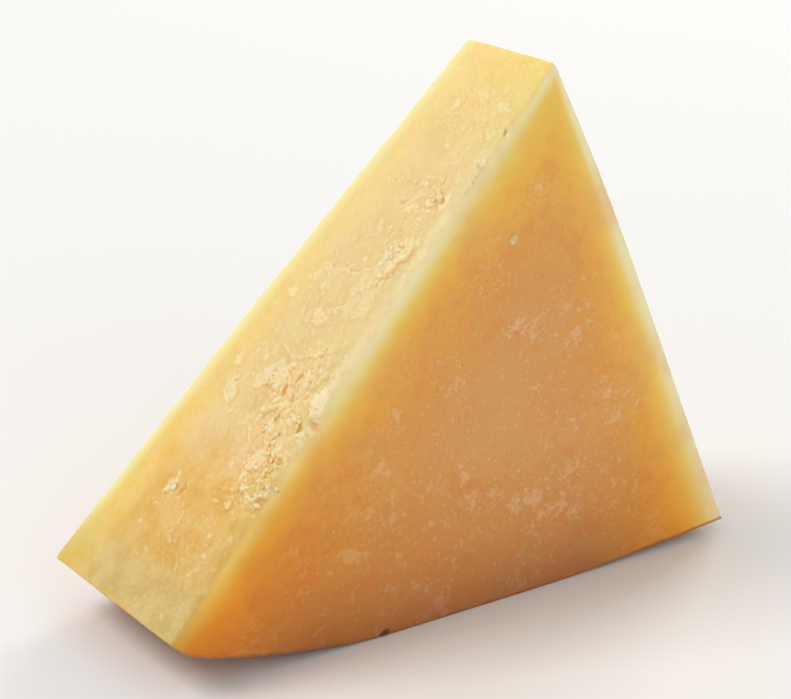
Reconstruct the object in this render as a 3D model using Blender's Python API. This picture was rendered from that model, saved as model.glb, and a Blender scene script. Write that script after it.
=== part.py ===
"""A parmesan chunk of about 210 g: one solid triangular slab of hard cheese standing on its rind.

The front and the back are smooth knife cuts that draw together towards a blunt tip. The long slope on
the left is a rough break, and the steep side on the right is a plain cut. The underside is the outer
rind of the wheel, level in the middle, curling up at the heel and a little at the toe.

Metres, +Z up. X runs along the rind from heel to toe and Y from the front cut to the back one.
The origin is the centre of the footprint's bounding box, on the surface that the chunk stands on.
"""

import math

import bmesh
import bpy
from mathutils import Vector, noise

# Driving dimensions, in metres
BASE_LENGTH = 0.1128  # heel to toe, between the sharp corners
TIP_HEIGHT = 0.0942  # sharp corner of the tip, before it is rounded
TIP_ALONG = 0.0745  # the tip stands this far from the heel
HEEL_THICKNESS = 0.0388  # front cut to back cut, at three corners of the slab
TOE_THICKNESS = 0.0360
TIP_THICKNESS = 0.0215
BACK_HEEL_SHIFT = (0.0012, 0.0)  # the back cut's corners lie this far (x, z) from the front's
BACK_TIP_SHIFT = (-0.0016, -0.0016)

HEEL_RISE = 0.0101  # the rind's curl at the heel, where the wheel's edge was rounded
HEEL_RUN = 0.042
HEEL_NOSE = 0.003  # the last few millimetres of the curl turn up more steeply
HEEL_NOSE_SHARE = 0.26
TOE_RISE = 0.0022
TOE_RUN = 0.037

SIDE_BULGE = 0.0009  # how far the two long edges bow out
BREAK_BULGE = 0.0005
TIP_ROUND = 0.0009  # the corners' radii, seen from the front
TOE_ROUND = 0.0007
HEEL_ROUND = 0.0009
CUT_EDGE = 0.0007  # rounding of the edges round the two knife cuts
RIDGE_EDGE = 0.0014  # the same along the break, before wear

# The ridge between the break and the front cut has crumbled: (distance up the slope, half length, width)
RIDGE_WEAR = (
    (0.040, 0.010, 0.0024),
    (0.064, 0.007, 0.0008),
    (0.088, 0.009, 0.0017),
    (0.101, 0.005, 0.0008),
)
# Hollows that crumbs left in the break: (distance up the slope, in from the ridge, radius, depth)
HOLLOWS = (
    (0.100, 0.014, 0.0045, 0.0005),
    (0.083, 0.005, 0.0060, 0.0007),
    (0.070, 0.012, 0.0080, 0.0008),
    (0.047, 0.013, 0.0070, 0.0011),
    (0.042, 0.003, 0.0050, 0.0008),
    (0.034, 0.007, 0.0060, 0.0010),
    (0.022, 0.022, 0.0040, 0.0005),
)
BREAK_GRAIN = 0.0055  # size and height of the break's lumps
BREAK_RELIEF = 0.0005
BREAK_CALM_FROM = 0.45  # beyond this share of the thickness the break is smoother

# How finely the surface is divided
BREAK_SPACING = 0.0019
CUT_SPACING = 0.0032
WALL_STEPS = 20
ROUND_STEPS = ((1.0, 0.0), (0.293, 0.293), (0.0, 1.0))  # a quarter circle's rings: inset, depth

HEEL = Vector((0.0, HEEL_RISE))
TOE = Vector((BASE_LENGTH, TOE_RISE))
TIP = Vector((TIP_ALONG, TIP_HEIGHT))
SLOPE = (TIP - HEEL).normalized()
BREAK_NORMAL = Vector((-SLOPE.y, 0.0, SLOPE.x))
BACK_HEEL = HEEL + Vector(BACK_HEEL_SHIFT)
BACK_TIP = TIP + Vector(BACK_TIP_SHIFT)


def smooth(low, high, value):
    """0 below low, 1 above high, and an even S between them."""
    share = min(1.0, max(0.0, (value - low) / (high - low)))
    return share * share * (3.0 - 2.0 * share)


def bump(distance, reach):
    """1 at the middle of a bump, falling to 0 at its reach."""
    return 1.0 - smooth(0.0, reach, abs(distance))


def rind_height(x):
    """Height of the underside at x: curled at the heel, level in the middle, and lifting at the toe."""
    if x < HEEL_RUN:
        curl = (1.0 - x / HEEL_RUN) ** 1.5
        return HEEL_RISE * ((1.0 - HEEL_NOSE_SHARE) * curl + HEEL_NOSE_SHARE * math.exp(-x / HEEL_NOSE))
    return TOE_RISE * max(0.0, (x - BASE_LENGTH + TOE_RUN) / TOE_RUN) ** 1.3


def bowed_run(start, end, bulge, peak, spacing):
    """Points from start to end, ends left out, on a line that bows out most at the peak's share of it."""
    along = end - start
    outward = Vector((along.y, -along.x)).normalized()
    count = max(2, round(along.length / spacing))
    power = math.log(0.5) / math.log(peak)
    shares = [i / count for i in range(1, count)]
    return [start + along * s + outward * bulge * math.sin(math.pi * s**power) for s in shares]


def rounded_corner(before, corner, after, radius):
    """Points of an arc of that radius in the corner between two neighbouring points."""
    to_before, to_after = (before - corner).normalized(), (after - corner).normalized()
    half = to_before.angle(to_after) / 2.0
    centre = corner + (to_before + to_after).normalized() * (radius / math.sin(half))
    start = (corner + to_before * (radius / math.tan(half)) - centre).normalized()
    end = (corner + to_after * (radius / math.tan(half)) - centre).normalized()
    middle = (start + end).normalized()
    spokes = [start, (start + middle).normalized(), middle, (middle + end).normalized(), end]
    return [centre + spoke * radius for spoke in spokes]


def outline():
    """The slab's outline seen from the front, anticlockwise from the heel, as (x, z) points."""
    count = round(BASE_LENGTH / CUT_SPACING)
    rind = [Vector((BASE_LENGTH * i / count, 0.0)) for i in range(1, count)]
    for point in rind:
        point.y = rind_height(point.x)
    side = bowed_run(TOE, TIP, SIDE_BULGE, 0.64, CUT_SPACING)
    slope = bowed_run(TIP, HEEL, BREAK_BULGE, 0.58, BREAK_SPACING)
    return [
        *rounded_corner(slope[-1], HEEL, rind[0], HEEL_ROUND),
        *rind,
        *rounded_corner(rind[-1], TOE, side[0], TOE_ROUND),
        *side,
        *rounded_corner(side[-1], TIP, slope[0], TIP_ROUND),
        *slope,
    ]


def inward_normals(points):
    """The direction into the slab at each point of its outline."""
    found = []
    for i, point in enumerate(points):
        along = points[(i + 1) % len(points)] - points[i - 1]
        found.append(Vector((-along.y, along.x)).normalized())
    return found


def place_on_break(point):
    """How far up the slope a point (x, z) lies, and 1 if it is on the break, falling to 0 off it."""
    offset = point - HEEL
    distance_off = abs(offset.x * -SLOPE.y + offset.y * SLOPE.x)
    return offset.dot(SLOPE), 1.0 - smooth(0.001, 0.004, distance_off)


def edge_limit(point):
    """The widest rounding that fits beside the slab's corners, where it has to run out."""
    return 0.5 * min((point - corner).length for corner in (HEEL, TOE, TIP, BACK_HEEL, BACK_TIP))


def front_edge(point):
    """Width of the rounded edge round the front cut: wider along the ridge, most where it has crumbled."""
    along, on_break = place_on_break(point)
    wear = sum(width * bump(along - place, half) for place, half, width in RIDGE_WEAR)
    return min(edge_limit(point), CUT_EDGE + on_break * (RIDGE_EDGE - CUT_EDGE + wear))


def back_edge(point):
    """Width of the rounded edge round the back cut."""
    return min(edge_limit(point), CUT_EDGE)


def corner_shares(point, heel, toe, tip):
    """The weights of three corners whose weighted mean is the point."""
    to_toe, to_tip, offset = toe - heel, tip - heel, point - heel
    whole = to_toe.x * to_tip.y - to_toe.y * to_tip.x
    toe_share = (offset.x * to_tip.y - offset.y * to_tip.x) / whole
    tip_share = (to_toe.x * offset.y - to_toe.y * offset.x) / whole
    return 1.0 - toe_share - tip_share, toe_share, tip_share


def front_plane(point):
    """Y of the front cut."""
    return 0.0


def back_plane(point):
    """Y of the back cut at (x, z): a plane through its three corners."""
    shares = corner_shares(point, BACK_HEEL, TOE, BACK_TIP)
    return shares[0] * HEEL_THICKNESS + shares[1] * TOE_THICKNESS + shares[2] * TIP_THICKNESS


def back_outline(points):
    """The outline of the back cut: the front's, with its heel and its tip shifted."""
    moved = []
    for point in points:
        heel_share, _, tip_share = corner_shares(point, HEEL, TOE, TIP)
        shift = (BACK_HEEL - HEEL) * heel_share + (BACK_TIP - TIP) * max(0.0, tip_share)
        moved.append(point + shift)
    return moved


def slab_rings():
    """The slab's wall as closed rings of points, from the front cut's rim to the back cut's."""

    def edge_rings(points, width_of, flat_y, inward):
        """The rounded edge of one cut: rings from the flat of the cut to the wall."""
        rings = []
        for inset, depth in ROUND_STEPS:
            ring = []
            for point, normal in zip(points, inward_normals(points)):
                width = width_of(point)
                flat = point + normal * width * inset
                ring.append(Vector((flat.x, flat_y(flat) + inward * width * depth, flat.y)))
            rings.append(ring)
        return rings

    front = edge_rings(outline(), front_edge, front_plane, 1.0)
    back = edge_rings(back_outline(outline()), back_edge, back_plane, -1.0)
    wall = []
    for step in range(1, WALL_STEPS):
        wall.append([a.lerp(b, step / WALL_STEPS) for a, b in zip(front[-1], back[-1])])
    return [*front, *wall, *reversed(back)]


def relief(point):
    """How far the break stands out at a point, with its lumps and hollows; 0 on every other face."""
    along, on_break = place_on_break(Vector((point.x, point.z)))
    away_from_ends = smooth(0.0, 0.005, along) * smooth(0.0, 0.005, (TIP - HEEL).length - along)
    calm = 1.0 - 0.7 * smooth(BREAK_CALM_FROM, BREAK_CALM_FROM + 0.2, point.y / HEEL_THICKNESS)
    lumps = BREAK_RELIEF * calm * noise.fractal(point / BREAK_GRAIN, 0.9, 2.0, 3)
    hollow = 0.0
    for up, from_ridge, radius, depth in HOLLOWS:
        hollow += depth * bump(math.hypot(along - up, point.y - from_ridge), radius)
    return on_break * away_from_ends * (lumps - hollow)


def skin(rings):
    """A closed mesh with the break's relief: quads from ring to ring, and one flat face for each cut."""
    mesh = bmesh.new()
    loops = [[mesh.verts.new(p + BREAK_NORMAL * relief(p)) for p in ring] for ring in rings]
    for nearer, farther in zip(loops, loops[1:]):
        for i in range(len(nearer)):
            j = (i + 1) % len(nearer)
            mesh.faces.new((nearer[i], farther[i], farther[j], nearer[j]))
    mesh.faces.new(loops[0])
    mesh.faces.new(reversed(loops[-1]))
    return mesh


def cheese_material():
    """Aged cheese: pale straw gold, waxy and not quite matt."""
    made = bpy.data.materials.new("parmesan paste")
    made.use_nodes = True
    shader = made.node_tree.nodes["Principled BSDF"]
    shader.inputs["Base Color"].default_value = (0.74, 0.46, 0.17, 1.0)
    shader.inputs["Roughness"].default_value = 0.5
    shader.inputs["Metallic"].default_value = 0.0
    return made


def build_chunk():
    """The chunk, moved so that its footprint is centred on the origin."""
    surface = skin(slab_rings())
    low = Vector([min(v.co[axis] for v in surface.verts) for axis in range(3)])
    high = Vector([max(v.co[axis] for v in surface.verts) for axis in range(3)])
    to_origin = Vector(((low.x + high.x) / 2.0, (low.y + high.y) / 2.0, low.z))
    bmesh.ops.translate(surface, verts=surface.verts, vec=-to_origin)
    mesh = bpy.data.meshes.new("chunk")
    surface.to_mesh(mesh)
    surface.free()
    mesh.shade_smooth()
    mesh.materials.append(cheese_material())
    chunk = bpy.data.objects.new("chunk", mesh)
    bpy.context.scene.collection.objects.link(chunk)
    return chunk


for leftover in list(bpy.data.objects):
    bpy.data.objects.remove(leftover)
build_chunk()
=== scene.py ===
import math
import random

import bmesh
import bpy
import numpy as np
from mathutils import Matrix, Vector, noise
from mathutils.bvhtree import BVHTree
from mathutils.kdtree import KDTree


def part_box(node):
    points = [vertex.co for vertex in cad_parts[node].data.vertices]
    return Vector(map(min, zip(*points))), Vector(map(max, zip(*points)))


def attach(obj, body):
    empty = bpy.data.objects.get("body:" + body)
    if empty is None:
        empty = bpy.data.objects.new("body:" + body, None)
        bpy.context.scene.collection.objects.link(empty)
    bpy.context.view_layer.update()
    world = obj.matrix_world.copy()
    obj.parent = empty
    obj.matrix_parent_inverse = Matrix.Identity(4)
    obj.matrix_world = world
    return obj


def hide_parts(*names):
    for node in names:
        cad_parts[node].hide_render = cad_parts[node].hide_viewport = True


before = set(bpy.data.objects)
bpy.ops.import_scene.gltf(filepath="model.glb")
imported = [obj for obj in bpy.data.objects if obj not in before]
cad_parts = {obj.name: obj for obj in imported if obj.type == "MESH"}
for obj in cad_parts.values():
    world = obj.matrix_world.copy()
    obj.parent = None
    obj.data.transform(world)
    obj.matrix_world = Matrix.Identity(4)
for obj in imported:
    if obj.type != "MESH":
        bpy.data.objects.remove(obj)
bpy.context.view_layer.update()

# ---------------------------------------------------------------------------------------------------
# The chunk: one slab of hard aged cheese, cut from a wheel and standing on its rind. Two faces are
# knife cuts, close and waxy. The long slope was broken open along the curd, so it is pale and crumbly.
# Its skin is laid over the solid, and the break's flakes, granules and pits are worked into the skin.
# ---------------------------------------------------------------------------------------------------
MM = 0.001
SKIN_CELL = 0.85 * MM  # the skin's mesh on the cuts; the break's is a third as wide
EDGE_BAND = 1.05 * MM  # how wide a strip beside each edge is squared up
CUT_CRISPNESS, BREAK_CRISPNESS = 0.8, 0.45  # how square the edges are; 1 would be quite sharp
LOW_CORNERS_OUT, HIGH_CORNERS_OUT = 0.8, 0.28  # how far the toe's and the tip's corners reach to a point

solid_low, solid_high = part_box("chunk")
FRONT = solid_low.y
HEEL = Vector((solid_low.x - 0.4 * MM, 10.1 * MM))  # sharp corners seen from the front, as (x, z)
TIP = HEEL + Vector((74.5 * MM, 84.1 * MM))
TOE = HEEL + Vector((112.8 * MM, -7.9 * MM))
BACK_CORNERS = (
    Vector((HEEL.x + 1.2 * MM, FRONT + 38.8 * MM, HEEL.y)),
    Vector((TOE.x, FRONT + 36.0 * MM, TOE.y)),
    Vector((TIP.x - 1.6 * MM, FRONT + 21.5 * MM, TIP.y - 1.6 * MM)),
)
SLOPE = (TIP - HEEL).normalized()
SLOPE_LENGTH = (TIP - HEEL).length
BREAK_NORMAL = np.array((-SLOPE.y, 0.0, SLOPE.x))


def smooth(low, high, value):
    """0 below low, 1 above high, and an even S between them."""
    share = np.clip((value - low) / (high - low), 0.0, 1.0)
    return share * share * (3.0 - 2.0 * share)


def rind_height(x):
    """Height of the underside at x: curled at the heel, level in the middle, lifting at the toe."""
    along = x - HEEL.x
    curl = np.clip(1.0 - along / (42 * MM), 0.0, 1.0) ** 1.5
    nose = np.where(along < 42 * MM, np.exp(-along / (3 * MM)), 0.0)
    toe = np.clip((along - 75.8 * MM) / (37 * MM), 0.0, 1.0) ** 1.3
    return 10.1 * MM * (0.74 * curl + 0.26 * nose) + 2.2 * MM * toe


def under_faces(points):
    """How deep each point lies under the front cut, the back cut, the break, the side and the rind."""
    x, y, z = points.T
    back_normal = (BACK_CORNERS[1] - BACK_CORNERS[0]).cross(BACK_CORNERS[2] - BACK_CORNERS[0])
    back_normal = np.array(back_normal.normalized())
    if back_normal[1] < 0.0:
        back_normal = -back_normal
    side = (TIP - TOE).normalized()
    under_back = -(points - np.array(BACK_CORNERS[0])) @ back_normal
    under_break = -(points - np.array((HEEL.x, 0.0, HEEL.y))) @ BREAK_NORMAL
    under_side = -((x - TOE.x) * side.y - (z - TOE.y) * side.x)
    return y - FRONT, under_back, under_break, under_side, z - rind_height(x)


def noise_at(points, size, shift=(0, 0, 0)):
    """Smooth noise at each point, about size wide."""
    return np.array([noise.noise(Vector(p) / size + Vector(shift)) for p in points])


def fractal_at(points, size, roughness, shift=(0, 0, 0)):
    """Noise with finer noise on it at each point, about size wide."""
    return np.array([noise.fractal(Vector(p) / size + Vector(shift), roughness, 2.0, 3) for p in points])


def welded(mesh):
    """The mesh with its doubled points joined."""
    shell = bmesh.new()
    shell.from_mesh(mesh)
    bmesh.ops.remove_doubles(shell, verts=shell.verts, dist=0.001 * MM)
    joined = bpy.data.meshes.new("welded solid")
    shell.to_mesh(joined)
    shell.free()
    return joined


def fine_skin(solid_mesh, cell):
    """An even mesh of small cells lying on the solid's faces, with its facets eased."""
    holder = bpy.data.objects.new("skin blank", solid_mesh)
    bpy.context.scene.collection.objects.link(holder)
    cells = holder.modifiers.new("even cells", "REMESH")
    cells.mode = "VOXEL"
    cells.voxel_size = cell
    blank = bpy.data.meshes.new_from_object(holder.evaluated_get(bpy.context.evaluated_depsgraph_get()))
    bpy.data.objects.remove(holder)
    skin = bmesh.new()
    skin.from_mesh(blank)
    surface = BVHTree.FromPolygons(
        [v.co.copy() for v in solid_mesh.vertices], [tuple(p.vertices) for p in solid_mesh.polygons]
    )
    for easing in (4, 1):
        for vertex in skin.verts:
            vertex.co = surface.find_nearest(vertex.co)[0]
        for _ in range(easing):
            bmesh.ops.smooth_vert(
                skin, verts=skin.verts, factor=0.5, use_axis_x=True, use_axis_y=True, use_axis_z=True
            )
    return skin


def face_normals(points):
    """The outward normals that the front cut, back cut, break, side and rind have near each point."""
    back = (BACK_CORNERS[2] - BACK_CORNERS[0]).cross(BACK_CORNERS[1] - BACK_CORNERS[0]).normalized()
    side = (TIP - TOE).normalized()
    flat = [(0.0, -1.0, 0.0), tuple(back), tuple(BREAK_NORMAL), (side.y, 0.0, -side.x)]
    step = 0.05 * MM
    climb = (rind_height(points[:, 0] + step) - rind_height(points[:, 0] - step)) / (2.0 * step)
    rind = np.stack((climb, np.zeros(len(points)), -np.ones(len(points))), axis=1)
    rind /= np.linalg.norm(rind, axis=1)[:, None]
    return np.array([np.tile(normal, (len(points), 1)) for normal in flat] + [rind])


def sharpen(skin, band, cut_share, broken_share):
    """Squares the eased edges where two faces meet, but for the worn ridge: a line of points is laid
    along each edge, and what lies within the band beside it goes out towards its own face's plane. The
    shares say how far out, for the edges between cuts and for the break's, which have crumbled more."""
    skin.normal_update()
    skin.verts.index_update()
    places = np.array([v.co for v in skin.verts])
    facing = face_normals(places)
    face = np.argmax((facing * np.array([v.normal for v in skin.verts])).sum(axis=2), axis=0)
    outward = facing[face, np.arange(len(places))]
    front, broken = 0, 2
    bent = [
        e for e in skin.edges
        if face[e.verts[0].index] != face[e.verts[1].index]
        and {face[e.verts[0].index], face[e.verts[1].index]} != {front, broken}
    ]
    seams = KDTree(len(bent))
    for i, edge in enumerate(bent):
        seams.insert((edge.verts[0].co + edge.verts[1].co) / 2.0, i)
    seams.balance()
    found = [seams.find(v.co) for v in skin.verts]
    gap = np.array([distance for _, _, distance in found])
    meeting = [(face[e.verts[0].index], face[e.verts[1].index]) for e in bent]
    crisp = np.array([broken_share if broken in pair else cut_share for pair in meeting])
    share = crisp[[i for _, i, _ in found]]
    for kind in range(len(facing)):
        flat = np.flatnonzero((face == kind) & (gap >= band))
        levels = KDTree(len(flat))
        for i in flat:
            levels.insert(places[i], i)
        levels.balance()
        for i in np.flatnonzero((face == kind) & (gap < band)):
            level = places[levels.find(places[i])[1]]
            places[i] += share[i] * outward[i] * (outward[i] @ (level - places[i]))
    for vertex, place in zip(skin.verts, places):
        vertex.co = place
    bmesh.ops.subdivide_edges(skin, edges=bent, cuts=1)
    skin.verts.index_update()
    laid = [v for v in skin.verts if v.index >= len(places)]
    between = []
    for vertex in laid:
        around = [e.other_vert(vertex).index for e in vertex.link_edges]
        ends = [i for i in around if i < len(places)]
        if len(ends) < 2:
            between.append(vertex)
            continue
        first, second = ends[:2]
        middle = (places[first] + places[second]) / 2.0
        off = [outward[i] @ (places[i] - middle) for i in (first, second)]
        lean = outward[first] @ outward[second]
        push = np.linalg.solve(((1.0, lean), (lean, 1.0)), off) if lean < 0.98 else (0.0, 0.0)
        reach = min(share[first], share[second])
        vertex.co = middle + reach * (push[0] * outward[first] + push[1] * outward[second])
    for vertex in between:
        around = [e.other_vert(vertex).co for e in vertex.link_edges]
        vertex.co = sum(around, Vector()) / len(around)
    tip, toe = (Vector((c.x, FRONT, c.y)) for c in (TIP, TOE))
    low = [(corner, LOW_CORNERS_OUT) for corner in (toe, BACK_CORNERS[1])]
    high = [(corner, HIGH_CORNERS_OUT) for corner in (tip, BACK_CORNERS[2])]
    for corner, reach in low + high:
        end = min(laid, key=lambda v: (v.co - corner).length)
        end.co = end.co.lerp(corner, reach)


def split_break(skin):
    """Cuts each of the skin's cells on the break, and over the ridge beside it, into nine."""
    skin.normal_update()
    normal = Vector(BREAK_NORMAL)
    chosen = [e for e in skin.edges if any(f.normal.dot(normal) > 0.35 for f in e.link_faces)]
    bmesh.ops.subdivide_edges(skin, edges=chosen, cuts=2, use_grid_fill=True)


skin = fine_skin(welded(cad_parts["chunk"].data), SKIN_CELL)
sharpen(skin, EDGE_BAND, CUT_CRISPNESS, BREAK_CRISPNESS)
split_break(skin)
skin.normal_update()
skin.verts.index_update()
points = np.array([v.co for v in skin.verts])
normals = np.array([v.normal for v in skin.verts])
edges = np.array([(e.verts[0].index, e.verts[1].index) for e in skin.edges])
under = under_faces(points)

# Where each point lies: up the slope from the heel, in from the ridge, and how far across the break
up_slope = (points[:, 0] - HEEL.x) * SLOPE.x + (points[:, 2] - HEEL.y) * SLOPE.y
from_ridge = under[0]
across = under[0] / (under[0] + np.maximum(under[1], 0.0) + 1e-9)
on_break = smooth(0.25, 0.80, normals @ BREAK_NORMAL)
noise.seed_set(3)  # otherwise vector noise is shifted by chance, and each run differs
sway = np.array([noise.noise_vector(Vector(p) / (2.6 * MM)) for p in points])
wander = np.array([noise.noise_vector(Vector(p) / (0.8 * MM)) for p in points])

# Crumbly places on the break: (up the slope, in from the ridge, half length, half width, strength), mm
CRUMBLY = (
    (45, 8, 15, 13, 1.0),
    (30, 5, 12, 9, 1.0),
    (44, 22, 12, 8, 0.55),
    (62, 17, 9, 10, 0.5),
    (72, 8, 12, 9, 0.75),
    (82, 7, 9, 8, 0.8),
    (98, 10, 11, 13, 0.5),
    (22, 22, 5, 4, 0.6),
    (12, 9, 9, 6, 0.35),
)
crumbly = np.full(len(points), 0.22)
for up, inward, half_length, half_width, strength in CRUMBLY:
    reach_up = (up_slope / MM - up + 2.2 * sway[:, 0]) / half_length
    reach_in = (from_ridge / MM - inward + 2.2 * sway[:, 1]) / half_width
    crumbly = np.maximum(crumbly, strength * (1.0 - smooth(0.3, 1.0, np.hypot(reach_up, reach_in))))
crumbly *= 1.0 - 0.5 * smooth(30.0, 22.0, up_slope / MM) * smooth(12.0, 22.0, from_ridge / MM)
crumbly *= 1.0 - 0.8 * smooth(0.66, 0.84, across)


def curd_cells(size, seed, stretch=1.0):
    """The granule of curd that each point falls in: its traits, the way from its middle, and how far
    inside its rim the point is."""
    dice = np.random.default_rng(seed)
    columns, rows = int(130 * MM / size) + 6, int(60 * MM * stretch / size) + 6
    middles = dice.random((columns, rows, 2))
    traits = dice.random((columns, rows, 3)) * 2.0 - 1.0
    along = (up_slope + 0.30 * size * sway[:, 0] + 0.22 * size * wander[:, 0]) / size + 3.0
    aside = (from_ridge + 0.30 * size * sway[:, 1] + 0.22 * size * wander[:, 1]) * stretch / size + 3.0
    column, row = np.floor(along).astype(int), np.floor(aside).astype(int)
    nearest = np.full(len(points), 9.0)
    second = np.full(len(points), 9.0)
    chosen = np.zeros((len(points), 3))
    way = np.zeros((len(points), 2))
    for step in range(9):
        i = np.clip(column + step // 3 - 1, 0, columns - 1)
        j = np.clip(row + step % 3 - 1, 0, rows - 1)
        gone = np.stack((along - i - middles[i, j, 0], aside - j - middles[i, j, 1]), axis=1)
        far = np.hypot(gone[:, 0], gone[:, 1])
        nearer = far < nearest
        second = np.where(nearer, nearest, np.minimum(second, far))
        nearest = np.where(nearer, far, nearest)
        chosen = np.where(nearer[:, None], traits[i, j], chosen)
        way = np.where(nearer[:, None], gone, way)
    return chosen, way, np.clip((second - nearest) / 0.35, 0.0, 1.0)


def shards(size, seed, tilt, stretch=1.0):
    """Heights of about -1 to 1: flat tilted facets, with a step from each to the next."""
    traits, way, _ = curd_cells(size, seed, stretch)
    return (1.0 - tilt) * traits[:, 0] + tilt * 2.0 * (way * traits[:, 1:]).sum(axis=1), traits[:, 0]


def granules(size, seed):
    """Heights of about -1 to 1: round grains packed side by side, each at its own height."""
    traits, _, inward = curd_cells(size, seed)
    return 0.9 * np.sqrt(inward) - 0.6 + 0.5 * traits[:, 0], traits[:, 1]


broad, _ = shards(6.5 * MM, 3, 0.55, 1.3)
middling, middling_tone = shards(2.3 * MM, 5, 0.6, 1.2)
small, _ = shards(1.05 * MM, 8, 0.6)
grains, grain_tone = granules(1.5 * MM, 12)
fine, fine_tone = granules(0.72 * MM, 17)
grit = fractal_at(points, 0.7 * MM, 0.7)

# Flakes that stand proud, in mm and degrees:
# (up the slope, in from the ridge, half length, half width, turn, lift)
FLAKES = [
    (46.2, 15.6, 3.0, 2.4, 20, 0.75),
    (43.8, 17.8, 1.8, 1.2, -30, 0.50),
    (59.2, 23.2, 1.5, 1.1, -10, 0.45),
    (45.0, 25.4, 1.5, 1.0, 30, 0.45),
    (40.4, 23.0, 2.6, 1.7, 35, 0.50),
    (46.0, 2.0, 2.9, 1.9, 12, 0.85),
    (50.0, 6.6, 4.2, 2.8, -15, 0.40),
    (32.6, 7.6, 2.6, 1.9, -25, 0.60),
    (36.4, 4.6, 1.9, 1.4, 15, 0.60),
    (38.4, 9.2, 1.6, 1.2, 50, 0.55),
    (41.2, 5.6, 1.5, 1.1, -50, 0.60),
    (28.2, 6.2, 1.5, 1.1, 25, 0.60),
    (27.4, 2.4, 1.9, 1.3, -20, 0.70),
    (29.6, 0.6, 1.4, 1.0, 40, 0.60),
    (24.2, 7.4, 1.1, 0.8, 10, 0.50),
    (22.0, 22.4, 1.7, 1.3, -25, 0.95),
    (58.0, 13.4, 2.4, 1.8, 60, 0.35),
    (63.4, 20.6, 1.4, 1.0, 0, 0.35),
    (72.0, 6.2, 4.8, 2.8, -32, 0.50),
    (64.0, 7.6, 5.2, 3.4, 10, 0.30),
    (83.2, 6.2, 1.8, 1.2, -30, 0.75),
    (80.4, 9.4, 1.9, 0.9, -50, 0.50),
    (85.0, 3.2, 1.3, 0.9, 20, 0.45),
    (92.2, 0.6, 1.2, 0.8, 30, 0.50),
    (99.2, 14.8, 1.3, 0.9, 0, 0.50),
    (102.0, 4.0, 1.9, 1.0, 80, 0.45),
    (75.6, 13.6, 1.4, 0.9, 35, 0.35),
]
PITS = (  # the same for pits, with their depth last
    (44.4, 11.6, 1.5, 0.8, 30, 0.80),
    (47.4, 10.4, 1.3, 0.7, -20, 0.70),
    (42.0, 1.0, 1.9, 0.6, 75, 0.55),
    (40.6, 3.2, 0.9, 0.6, 0, 0.55),
    (36.2, 7.0, 1.1, 0.6, -20, 0.55),
    (31.2, 3.4, 1.2, 0.7, 30, 0.55),
    (34.4, 2.2, 1.0, 0.6, 60, 0.50),
    (22.0, 19.4, 1.6, 0.7, -10, 0.45),
    (83.9, 4.6, 0.8, 0.5, 20, 0.55),
    (98.3, 0.9, 0.55, 0.35, 50, 0.75),
    (80.6, 11.6, 1.0, 0.5, -50, 0.40),
)
# Ledges, where one side of a crack stands above the other: the rise, then places on the line as
# (up the slope, in from the ridge), mm
LEDGES = (
    (0.26, (57.6, 17.0), (58.8, 14.6), (60.4, 11.1), (62.9, 8.4)),
    (0.24, (66.1, 21.0), (66.5, 14.0), (69.6, 8.2)),
    (-0.40, (66.6, 9.0), (68.4, 5.6), (71.8, 3.6), (75.2, 2.6), (78.4, 3.6)),
    (-0.22, (79.0, 13.6), (80.8, 10.2), (84.4, 7.8)),
    (0.16, (96.6, 17.6), (98.6, 13.0), (97.8, 9.6)),
    (-0.30, (50.8, 20.0), (49.6, 14.4), (51.2, 9.4), (54.6, 6.6)),
    (-0.34, (36.0, 12.4), (39.4, 12.0), (42.0, 9.6), (42.2, 6.6)),
    (0.22, (31.0, 12.0), (34.2, 11.4), (36.4, 13.8), (36.0, 18.0)),
    (0.18, (88.6, 10.0), (90.8, 6.4), (94.6, 5.0)),
)


by_height = np.argsort(up_slope)
heights_in_order = up_slope[by_height] / MM


def near(up, inward, reach):
    """The points of the break within reach of a place, in mm."""
    first, last = np.searchsorted(heights_in_order, (up - reach, up + reach))
    close = by_height[first:last]
    return close[(np.abs(from_ridge[close] / MM - inward) < reach) & (on_break[close] > 0.0)]


def in_chip(shape, seed):
    """Which points a chip covers; for each, 1 well inside its angular outline to 0 at it, and how far
    towards the chip's proud side."""
    up, inward, half_length, half_width, turn, _ = shape
    dice = random.Random(seed)
    here = near(up, inward, 1.5 * half_length + 1.0)
    along = up_slope[here] / MM + 0.3 * sway[here, 0] + 0.3 * wander[here, 0] - up
    aside = from_ridge[here] / MM + 0.3 * sway[here, 1] + 0.3 * wander[here, 1] - inward
    cosine, sine = math.cos(math.radians(turn)), math.sin(math.radians(turn))
    length_share = (along * cosine + aside * sine) / half_length
    width_share = (aside * cosine - along * sine) / half_width
    reach = np.zeros(len(here))
    sides = dice.randint(5, 7)
    for side in range(sides):
        angle = (side + dice.uniform(-0.3, 0.3)) * math.tau / sides
        outward = length_share * math.cos(angle) + width_share * math.sin(angle)
        reach = np.maximum(reach, outward / dice.uniform(0.78, 1.05))
    proud = np.clip(-(0.8 * along + 0.6 * aside) / half_length, -1.0, 1.0)
    domed = 1.0 - 0.4 * np.clip(reach, 0.0, 1.0) ** 2
    return here, domed * (1.0 - smooth(1.0 - 0.32 / half_width, 1.0 + 0.14 / half_width, reach)), proud


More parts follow.
